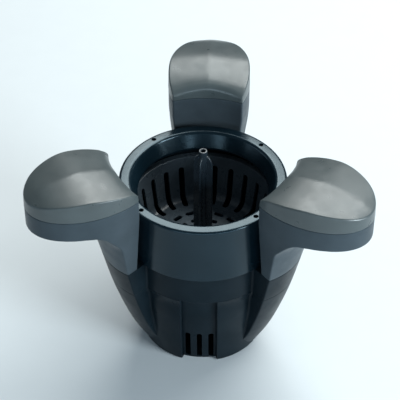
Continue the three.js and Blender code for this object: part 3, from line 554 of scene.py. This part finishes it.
def leaf_basket():
    """Slotted cup with a flat rim that hangs on the housing's ledge."""
    low, high = BASKET_LOW.z, BASKET_HIGH.z
    rim_r, rim_low = BASKET_HIGH.x, high - 2.5
    floor = low + 2
    profile = [(0, low), (72, low), (79, low + 7), (86, rim_low), (rim_r, rim_low),
               (rim_r, high), (84, high), (77, low + 7.8), (71.2, floor), (0, floor)]
    radii = [0, 4, 4, 1.0, 0.9, 0.9, 1.2, 4, 4, 0]
    cup = turned("basket_cup", rounded(profile, radii, 6), 240)
    slots = []
    top, half, inner = BASKET_SLOT_TOP, BASKET_SLOT_HALF, 62
    levels = [low - 1, low + 8, top - half]
    levels += [top - half + half * math.sin(t) for t in (0.4, 0.8, 1.15, 1.4)]
    for i in range(BASKET_SLOTS):
        verts, faces = [], []
        for z in levels:
            w = math.sqrt(max(0.04, half ** 2 - max(0.0, z - top + half) ** 2))
            inner_end = [(inner + half - w * math.cos(t), w * math.sin(t))
                         for t in np.linspace(-1.5, 1.5, 7)]
            outline = [(COLLAR_R, -w), (COLLAR_R, w)] + inner_end[::-1]
            verts += [(x, y, z) for x, y in turn2(outline, (i + 0.5) * 360 / BASKET_SLOTS)]
        n = len(verts) // len(levels)
        for k in range(len(levels) - 1):
            a, b = k * n, (k + 1) * n
            faces += [(a + j, a + (j + 1) % n, b + (j + 1) % n, b + j) for j in range(n)]
        faces += [tuple(reversed(range(n))), tuple(range((len(levels) - 1) * n, len(levels) * n))]
        slots.append((verts, faces))
    cut(cup, many("slots", slots), sharp=38)
    openings = []
    for radius, count in BASKET_OPENINGS:
        near, far = radius - 3, radius + 3
        long = OPENING_HALF_SHARE * 2 * math.pi * radius / count
        for i in range(count):
            corners = [(near, -long), (far, -long), (far, long), (near, long)]
            outline = turn2(rounded(corners, 2.6, 5), i * 360 / count)
            openings.append(prism(outline, low - 1, floor + 1))
    openings.append(lathe_block([(6.3, low - 1), (6.3, floor + 1)], (0, 0)))
    cut(cup, many("openings", openings), sharp=38)
    return crisp(cup)


def lift_post():
    """Cross-ribbed post with a bored tip, standing on a disc in the basket's floor."""
    low, top = BASKET_LOW.z - 1, POST_TOP
    foot = BASKET_LOW.z + 2.3
    profile = [(0, low), (6, low), (6, foot), (15, foot), (15, foot + 2.5), (7, foot + 4.5),
               (5, foot + 12), (5, top), (3, top), (3, top - 90), (0, top - 90)]
    radii = [0, 0.4, 0.2, 0.5, 0.8, 3, 6, 0.8, 0.5, 0.2, 0]
    stem = turned("post_stem", rounded(profile, radii, 5), 64)
    reach, thick, drop, tip_drop = 12, 2.4, 7, 24
    heights = list(np.linspace(foot + 1, top - tip_drop, 6))
    heights += [top - tip_drop + (tip_drop - drop) * math.sin(t)
                for t in np.linspace(0.12, 1.5, 12)]
    for turn in (POST_TURN, POST_TURN + 90):
        rows = []
        for z in heights:
            rise = max(0.0, (z - top + tip_drop) / (tip_drop - drop))
            r = 4 + (reach - 4) * math.sqrt(max(0.0, 1 - rise ** 2))
            tip = [(r - thick / 2 + thick / 2 * math.cos(t), thick / 2 * math.sin(t))
                   for t in np.linspace(-math.pi / 2, math.pi / 2, 9)]
            outline = tip + [(-x, -y) for x, y in tip]
            rows.append([(x, y, z) for x, y in turn2(outline, turn)])
        cut(stem, loft("plate", rows), "UNION", sharp=38)
    bore = lathe_block([(3, top - 60), (3, top + 1)], (0, 0), 48)
    cut(stem, many("bore", [bore]), sharp=38)
    return crisp(stem)


# ------------------------------------------------------------------ housings
def sector(z, inset, fins, channels):
    """Outline of a third of a housing at height z, with an arm's radius along +u in the middle.

    Bowl or band, a fin under the float, and half a recessed channel at either end.
    """
    edge = HOUSING_EDGE
    bowl = at_height(FLANK_CURVE, z) if z <= SEAM_LOW else BAND_R
    bowl -= inset
    deep = bowl - CHANNEL_DEPTH
    half_w = CHANNEL_W / 2 + inset
    rho = at_height(FIN_CURVE, z)
    mid = math.pi / 3
    pieces = []

    def polar(r, t):
        return np.array([r * math.cos(t), r * math.sin(t)])

    if channels:
        wall_in = math.asin(half_w / deep)
        wall_out = math.asin(half_w / bowl)
        floor_end, mouth = polar(deep, mid - wall_in), polar(bowl, mid - wall_out)
        lip = wall_out + edge / bowl
        pieces.append([tuple(polar(deep, t)) for t in np.linspace(mid, mid - wall_in + 0.008, 14)])
        along = (mouth - floor_end) / np.linalg.norm(mouth - floor_end)
        pieces.append(bend(pieces[-1][-1], floor_end, floor_end + along * 0.7, 4)[1:])
        pieces.append(line(pieces[-1][-1], mouth - along * edge, 4)[1:])
        pieces.append(bend(pieces[-1][-1], mouth, polar(bowl, mid - lip), 6)[1:])
        start = mid - lip
    else:
        pieces.append([tuple(polar(bowl, t)) for t in np.linspace(mid, mid - 0.02, 25)])
        start = mid - 0.02

    root = FIN_ANGLE
    if fins:
        reach = FIN_AXIS * math.cos(root)
        tip_r = reach + math.sqrt(max(0.0, reach ** 2 - FIN_AXIS ** 2 + rho ** 2))
        if tip_r <= bowl + 0.3:
            cosine = (bowl ** 2 - rho ** 2 + FIN_AXIS ** 2) / (2 * bowl * FIN_AXIS)
            root = math.acos(min(1.0, cosine)) if bowl < FIN_AXIS + rho else 0.02
            tip_r = bowl
    else:
        tip_r = bowl
    side = tip_r - bowl
    fillet = min(3.0, 0.45 * side)
    curl = min(edge, 0.45 * side)
    pieces.append([tuple(polar(bowl, t)) for t in np.linspace(start, root + fillet / bowl, 26)][1:])
    foot = polar(bowl, root)
    pieces.append(bend(pieces[-1][-1], foot, polar(bowl + fillet, root), 7)[1:])
    pieces.append(line(pieces[-1][-1], polar(tip_r - curl, root), 8)[1:])
    if fins:
        edge_at = polar(tip_r, root)
        turn = math.atan2(edge_at[1], edge_at[0] - FIN_AXIS)
        turn_in = turn - curl / rho
        meet = (FIN_AXIS + rho * math.cos(turn_in), rho * math.sin(turn_in))
        pieces.append(bend(pieces[-1][-1], edge_at, meet, 6)[1:])
        pieces.append(arc(rho, turn_in, 0, 30, (FIN_AXIS, 0))[1:])
    else:
        pieces.append([tuple(polar(bowl, t)) for t in np.linspace(root, 0, 35)][1:])
    half = [p for piece in pieces for p in piece]
    whole = half + [(x, -y) for x, y in reversed(half[:-1])]
    return whole[:-1]


def all_round(z, inset=0.0, fins=True, channels=True, pull=0.0, level=None):
    """The outline of all three sectors; pull draws it in towards the axis at another level."""
    flat = []
    for degrees in (90, 330, 210):
        flat += turn2(sector(z, inset, fins, channels), degrees)
    height = z if level is None else level
    return [(x - x * pull / math.hypot(x, y), y - y * pull / math.hypot(x, y), height)
            for x, y in flat]


def on_circle(row, radius, z):
    """The row's points moved along their radii to a circle."""
    return [(x * radius / math.hypot(x, y), y * radius / math.hypot(x, y), z)
            for x, y, _ in row]


def upper_housing():
    """Straight band with three pads under the legs, a ledge for the basket and a spigot below."""
    low, pad = SEAM_LOW + GAP, PAD_TOP - GAP
    shape = dict(channels=False)
    rows = [all_round(low, pull=0.5, **shape),
            all_round(low, pull=0.15, level=low + 0.15, **shape)]
    rows += [all_round(z, **shape) for z in np.linspace(low + 0.5, pad - 0.5, 14)]
    rows += [all_round(pad, pull=0.15, level=pad - 0.15, **shape),
             all_round(pad, pull=0.5, **shape)]
    ring = rows[-1]
    inner, spigot_low, step = BAND_R - BAND_WALL, low - SPIGOT_H, low + 2.5
    spigot = at_height(FLANK_CURVE, spigot_low) - CHANNEL_DEPTH - SHELL - GAP
    ledge, ledge_top = inner - LEDGE_W, RING_TOP - LEDGE_DROP
    ledge_low = ledge_top - 3
    profile = [(BAND_R, pad), (BAND_R, BAND_TOP), (inner, BAND_TOP), (inner, ledge_top),
               (ledge, ledge_top), (ledge, ledge_low), (inner, ledge_low), (inner, step),
               (spigot - 2.5, step), (spigot - 2.5, spigot_low), (spigot, spigot_low),
               (spigot, low)]
    radii = [0, 1.2, 1.2, 0.8, 0.8, 0.8, 0.8, 0.8, 0.5, 0.5, 0.5, 0.3]
    rows += [on_circle(ring, r, z) for r, z in rounded(profile, radii, 4)]
    return crisp(loft("upper_body", rows, closed=True))


def lower_housing():
    """Bowl with fins under the pads and three recessed channels of suction slots."""
    top, floor = SEAM_LOW, 3.0
    inside = dict(inset=SHELL, fins=False)
    core = 0.2                          # share of its size that a flat end shrinks to
    first = all_round(floor, **inside)
    rows = [[(x * core, y * core, floor) for x, y, _ in first], first]
    rows += [all_round(z, **inside) for z in np.linspace(6, top - 0.4, 16)]
    rows += [all_round(top, pull=-0.4, **inside), all_round(top, pull=0.5)]
    rows += [all_round(top, pull=0.15, level=top - 0.15)]
    rows += [all_round(z) for z in np.linspace(top - 0.5, 24, 34)]
    rows += [all_round(z) for z in np.linspace(21, 1.5, 12)]
    rows += [all_round(0, pull=0.45, level=0.45), all_round(0, pull=1.5)]
    rows.append([(x * core, y * core, 0) for x, y, _ in rows[-1]])
    bowl = loft("bowl", rows)
    half = SLOT_W / 2
    arch = arc(half, 0, math.pi, 17, (0, SLOT_TOP - half))
    slot = [(-half, SLOT_LOW), (half, SLOT_LOW)] + arch
    sill, head = SEAM_LOW - 8.5, SEAM_LOW - 4.5
    window = [(-WINDOW_HALF, sill), (WINDOW_HALF, sill), (WINDOW_HALF, head), (-WINDOW_HALF, head)]
    near, far = 50, 110                 # how deep the tools reach, along the channel's radius
    cuts = ((slot, (-SLOT_PITCH, 0, SLOT_PITCH)), (window, (-WINDOW_SHIFT, WINDOW_SHIFT)))
    stand_up = Matrix(((0, 0, 1, 0), (1, 0, 0, 0), (0, 1, 0, 0), (0, 0, 0, 1)))
    tools = []
    for degrees in CHANNELS:
        for outline, shifts in cuts:
            for shift in shifts:
                block = prism([(y + shift, z) for y, z in outline], near, far)
                tools.append(moved(block, about_z(degrees) @ stand_up))
    tools.append(moved(lathe_block([(GLAND_R, -12), (GLAND_R, 12)], (0, 0)), gland_place()))
    cut(bowl, many("openings", tools))
    return crisp(bowl)


def gland_place():
    """Puts +Z on the cable gland's axis, with the origin on the rear left channel's floor."""
    out = Matrix.Translation((at_height(FLANK_CURVE, GLAND_Z) - CHANNEL_DEPTH, 0, GLAND_Z))
    return about_z(CHANNELS[2]) @ out @ Matrix.Rotation(math.radians(GLAND_TILT), 4, "Y")


def filter_foam():
    """Foam block in the bowl, a little crowned and soft at its edges."""
    low, high = cad("filter_foam")
    hole = 24.3                         # clears the strainer
    wide, foot = high.x - 0.6, at_height(FLANK_CURVE, low.z) - CHANNEL_DEPTH - SHELL - 1.2
    profile = [(hole, low.z + 0.3), (foot, low.z + 0.3), (wide, high.z - 1),
               (wide * 0.6, high.z - 0.1), (hole, high.z - 0.8)]
    return turned("foam_block", rounded(profile, [2, 4, 4, 20, 2], 8), 128)


# ------------------------------------------------------------------ materials
def link(tree, source, target):
    tree.links.new(source, target)


def noise(tree, scale, detail, rough=0.5):
    """Noise over the object's own coordinates; scale is in cycles per metre."""
    coords = tree.nodes.new("ShaderNodeTexCoord").outputs["Object"]
    node = tree.nodes.new("ShaderNodeTexNoise")
    node.inputs["Scale"].default_value = scale
    node.inputs["Detail"].default_value = detail
    node.inputs["Roughness"].default_value = rough
    link(tree, coords, node.inputs["Vector"])
    return node.outputs["Fac"]


def ramp(tree, value, low, high, to_low=0.0, to_high=1.0):
    """The value stretched from low..high to to_low..to_high, and held there."""
    node = tree.nodes.new("ShaderNodeMapRange")
    for key, number in (("From Min", low), ("From Max", high),
                        ("To Min", to_low), ("To Max", to_high)):
        node.inputs[key].default_value = number
    link(tree, value, node.inputs["Value"])
    return node.outputs["Result"]


def math_node(tree, operation, a, b):
    node = tree.nodes.new("ShaderNodeMath")
    node.operation = operation
    for socket, value in ((node.inputs[0], a), (node.inputs[1], b)):
        if isinstance(value, float):
            socket.default_value = value
        else:
            link(tree, value, socket)
    return node.outputs[0]


def mixed(tree, factor, a, b):
    """Colour a at factor 0, colour b at factor 1."""
    node = tree.nodes.new("ShaderNodeMix")
    node.data_type = "RGBA"
    link(tree, factor, node.inputs["Factor"])
    for socket, value in ((node.inputs["A"], a), (node.inputs["B"], b)):
        if isinstance(value, tuple):
            socket.default_value = (*value, 1)
        else:
            link(tree, value, socket)
    return node.outputs["Result"]


def edge_mask(tree, radius):
    """1 on edges about radius wide, broken up so that the wear and the painted highlight along the
    edges aren't even.
    """
    bevel = tree.nodes.new("ShaderNodeBevel")
    bevel.samples = 6
    bevel.inputs["Radius"].default_value = radius
    geometry = tree.nodes.new("ShaderNodeNewGeometry")
    dot = tree.nodes.new("ShaderNodeVectorMath")
    dot.operation = "DOT_PRODUCT"
    link(tree, bevel.outputs["Normal"], dot.inputs[0])
    link(tree, geometry.outputs["Normal"], dot.inputs[1])
    edge = ramp(tree, dot.outputs["Value"], 0.995, 0.93)
    return math_node(tree, "MULTIPLY", edge, ramp(tree, noise(tree, 160, 4), 0.42, 0.62))


def plastic(name, colour, rough, spread=0.07, grain=0.12, wear_and_highlight=0.0, speck=0.0, spec=0.5,
            metallic=0.0, tone=0.12, tint_light=(1.0, 1.0, 1.0)):
    """Moulded surface: fine texture, cloudy roughness, faint colour drift, edges lightened as wear
    and painted highlight, dust.

    spread is how far roughness wanders, tone how far the colour does, and tint_light colours
    the reflections.
    """
    material = bpy.data.materials.new(name)
    material.use_nodes = True
    tree = material.node_tree
    shader = tree.nodes["Principled BSDF"]
    shader.inputs["Specular IOR Level"].default_value = spec
    shader.inputs["Metallic"].default_value = metallic
    shader.inputs["Specular Tint"].default_value = (*tint_light, 1)
    cloud = noise(tree, 28, 4, 0.55)
    lighter = tuple(min(1.0, c * (1 + tone) + 0.002) for c in colour)
    darker = tuple(c * (1 - tone) for c in colour)
    tint = mixed(tree, ramp(tree, cloud, 0.3, 0.7), darker, lighter)
    roughness = ramp(tree, noise(tree, 60, 5, 0.6), 0.3, 0.7, rough - spread, rough + spread)
    if speck:
        dust = ramp(tree, noise(tree, 700, 3, 0.7), 0.62, 0.75, 0.0, speck)
        tint = mixed(tree, dust, tint, tuple(min(1.0, c * 2 + 0.05) for c in colour))
    # lighter edges: partly wear, partly a painted highlight along the edges
    if wear_and_highlight:
        worn_and_highlit = math_node(tree, "MULTIPLY", edge_mask(tree, 0.7 * MM), float(wear_and_highlight))
        tint = mixed(tree, worn_and_highlit, tint, tuple(min(1.0, c * 2.2 + 0.03) for c in colour))
        roughness = math_node(tree, "ADD", roughness, math_node(tree, "MULTIPLY", worn_and_highlit, 0.1))
    link(tree, tint, shader.inputs["Base Color"])
    link(tree, roughness, shader.inputs["Roughness"])
    bump = tree.nodes.new("ShaderNodeBump")
    bump.inputs["Strength"].default_value = grain
    bump.inputs["Distance"].default_value = 0.12 * MM
    link(tree, noise(tree, 2600, 2), bump.inputs["Height"])
    sag = tree.nodes.new("ShaderNodeBump")
    sag.inputs["Strength"].default_value = 0.12
    sag.inputs["Distance"].default_value = 0.6 * MM
    link(tree, noise(tree, 22, 2, 0.4), sag.inputs["Height"])
    link(tree, bump.outputs["Normal"], sag.inputs["Normal"])
    link(tree, sag.outputs["Normal"], shader.inputs["Normal"])
    return material


def foam(name, colour):
    """Foam: cells in relief, with painted shade darkening their pits."""
    material = plastic(name, colour, 0.95, 0.03, 0.2, spec=0.1)
    tree = material.node_tree
    shader = tree.nodes["Principled BSDF"]
    cells = tree.nodes.new("ShaderNodeTexVoronoi")
    cells.inputs["Scale"].default_value = 420
    link(tree, tree.nodes["Texture Coordinate"].outputs["Object"], cells.inputs["Vector"])
    pits = ramp(tree, cells.outputs["Distance"], 0.0, 0.5)
    tint = shader.inputs["Base Color"].links[0].from_socket
    # painted shade: the colour darkens into each cell's pit
    link(tree, mixed(tree, pits, tuple(c * 0.3 for c in colour), tint), shader.inputs["Base Color"])
    bump = tree.nodes.new("ShaderNodeBump")
    bump.inputs["Strength"].default_value = 0.8
    bump.inputs["Distance"].default_value = 0.8 * MM
    link(tree, pits, bump.inputs["Height"])
    link(tree, bump.outputs["Normal"], shader.inputs["Normal"])
    return material


BLUISH = (0.66, 0.88, 1.0)
MATERIALS = {
    "float_shell": plastic("float_shell_plastic", (0.038, 0.049, 0.058), 0.42, grain=0.04,
                           wear_and_highlight=0.3, spec=0.2, tint_light=BLUISH),
    "float_lid": plastic("float_lid_plastic", (0.054, 0.067, 0.070), 0.33, grain=0.03),
    "ring": plastic("ring_plastic", (0.002, 0.008, 0.013), 0.21, spread=0.03, grain=0.01,
                    spec=0.42, tint_light=BLUISH),
    "basket": plastic("basket_plastic", (0.070, 0.092, 0.112), 0.30, grain=0.04),
    "post": plastic("post_plastic", (0.016, 0.024, 0.032), 0.26, grain=0.04, wear_and_highlight=0.6),
    "housing": plastic("housing_plastic", (0.004, 0.009, 0.013), 0.34, grain=0.05, wear_and_highlight=0.5,
                       spec=0.09),
    "ring_foam": foam("ring_foam_grey", (0.012, 0.014, 0.016)),
    "filter_foam": foam("filter_foam_blue", (0.05, 0.10, 0.16)),
    "rubber": plastic("seal_rubber", (0.012, 0.012, 0.013), 0.62, grain=0.3, speck=0.12,
                      spec=0.35),
    "steel": plastic("stainless_steel", (0.55, 0.55, 0.54), 0.28, grain=0.05, metallic=1.0,
                     tone=0.04),
    "pump_case": plastic("pump_plastic", (0.016, 0.020, 0.028), 0.38, grain=0.12, wear_and_highlight=0.4),
    "impeller": plastic("impeller_plastic", (0.60, 0.58, 0.52), 0.35, grain=0.06),
    "magnet": plastic("ferrite_magnet", (0.035, 0.033, 0.034), 0.5, grain=0.3, speck=0.15),
    "ceramic": plastic("shaft_ceramic", (0.78, 0.77, 0.74), 0.16, grain=0.02, tone=0.03),
}


# ------------------------------------------------------------------ pieces on the frame
def place(piece, body, slot, *nodes):
    """Gives a piece the material of its slot, puts it on its body and hides the CAD nodes that it
    stands for.
    """
    piece.data.materials.clear()
    piece.data.materials.append(MATERIALS[slot])
    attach(piece, body)
    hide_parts(*nodes)


for arm, degrees in ARMS.items():
    place(float_body("shell_" + arm, degrees), "housing", "float_shell", "float_body_" + arm)
    place(float_lid("lid_" + arm, degrees), "housing", "float_lid", "float_lid_" + arm)
place(upper_housing(), "housing", "housing", "upper_housing")
place(lower_housing(), "housing", "housing", "lower_housing")
place(floating_ring(), "ring", "ring", "floating_ring")
place(leaf_basket(), "basket", "basket", "leaf_basket")
place(lift_post(), "basket", "post", "lift_post")
for make, body, slot, node in ((ring_float, "ring", "ring_foam", "ring_float"),
                               (filter_foam, "housing", "filter_foam", "filter_foam")):
    piece = make()
    place(piece, body, slot, node)

# CAD nodes that show as they are, by the start of their name; the first match counts
CARRIED = {"float_screw": "steel", "cover_screw": "steel", "cable_gland": "rubber",
           "shaft_bush": "rubber", "cover_o_ring": "rubber", "pump_foot": "rubber",
           "filter_deck": "housing", "intake_strainer": "pump_case",
           "pump_motor": "pump_case", "pump_cover": "pump_case", "outlet_elbow": "pump_case",
           "impeller_shaft": "ceramic", "impeller": "impeller", "rotor_magnet": "magnet"}
for name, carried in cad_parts.items():
    slot = next((CARRIED[key] for key in CARRIED if name.startswith(key)), None)
    if slot:
        carried.data.materials.clear()
        carried.data.materials.append(MATERIALS[slot])


# ------------------------------------------------------------------ stage, light, camera
FLOOR_HALF = 4.0                # metres from here on
FLOOR_DROP = 0.0005
SKY_COLOUR, SKY_STRENGTH = (0.74, 0.89, 1.0), 0.16
COOL = (0.66, 0.86, 1.0)
LIGHTS = (                      # name, place, aim, size, watts, colour
    ("rear_box", (0.65, 1.2, 2.15), (0, 0, 0.2), (2.9, 1.25), 96, (0.96, 1.0, 0.98)),
    ("key_right", (1.9, -1.15, 0.85), (0.1, 0, 0.2), (0.9, 0.8), 60, (0.82, 0.94, 1.0)),
    ("front_low", (0.2, -2.2, 0.48), (0, 0, 0.23), (3.4, 0.32), 22, COOL),
    ("strip_left", (-2.2, -0.5, 0.48), (0, 0, 0.23), (2.4, 0.3), 6, COOL),
)
CAMERA_AIM = (0, 0, 0.238)
CAMERA_DISTANCE = 1.4537
CAMERA_UP, CAMERA_SIDE, CAMERA_ROLL = 39.87, 2.94, 0.17      # degrees
CAMERA_LENS = 110.49
CAMERA_SHIFT = (-0.0076, -0.059)


def area_light(name, spot, aim, size, watts, colour):
    data = bpy.data.lights.new(name, "AREA")
    data.shape = "RECTANGLE"
    data.size, data.size_y = size
    data.energy = watts
    data.color = colour
    lamp = bpy.data.objects.new(name, data)
    lamp.location = spot
    lamp.rotation_euler = (Vector(aim) - Vector(spot)).to_track_quat("-Z", "Y").to_euler()
    bpy.context.scene.collection.objects.link(lamp)


def stage():
    """Pale floor, dim bluish sky and four area lights."""
    mesh = bpy.data.meshes.new("floor")
    half = FLOOR_HALF
    corners = [(-half, -half, 0), (half, -half, 0), (half, half, 0), (-half, half, 0)]
    mesh.from_pydata(corners, [], [(0, 1, 2, 3)])
    floor = bpy.data.objects.new("floor", mesh)
    floor.location.z = -FLOOR_DROP
    bpy.context.scene.collection.objects.link(floor)
    floor.data.materials.append(plastic("floor_paint", (0.60, 0.63, 0.65), 0.9, spec=0.05,
                                        tone=0.005))
    world = bpy.data.worlds.new("studio")
    bpy.context.scene.world = world
    world.use_nodes = True
    sky = world.node_tree.nodes["Background"]
    sky.inputs["Color"].default_value = (*SKY_COLOUR, 1)
    sky.inputs["Strength"].default_value = SKY_STRENGTH
    for light in LIGHTS:
        area_light(*light)


def camera():
    """Looks down on the skimmer from the front at about forty degrees."""
    up, side = math.radians(CAMERA_UP), math.radians(CAMERA_SIDE)
    out = Vector((math.sin(side) * math.cos(up), -math.cos(side) * math.cos(up), math.sin(up)))
    data = bpy.data.cameras.new("camera")
    data.lens = CAMERA_LENS
    data.shift_x, data.shift_y = CAMERA_SHIFT
    eye = bpy.data.objects.new("camera", data)
    eye.location = Vector(CAMERA_AIM) + out * CAMERA_DISTANCE
    roll = Matrix.Rotation(math.radians(CAMERA_ROLL), 4, "Z").to_quaternion()
    eye.rotation_euler = ((-out).to_track_quat("-Z", "Y") @ roll).to_euler()
    bpy.context.scene.collection.objects.link(eye)
    bpy.context.scene.camera = eye


stage()
camera()
bpy.context.scene.view_settings.view_transform = "Standard"
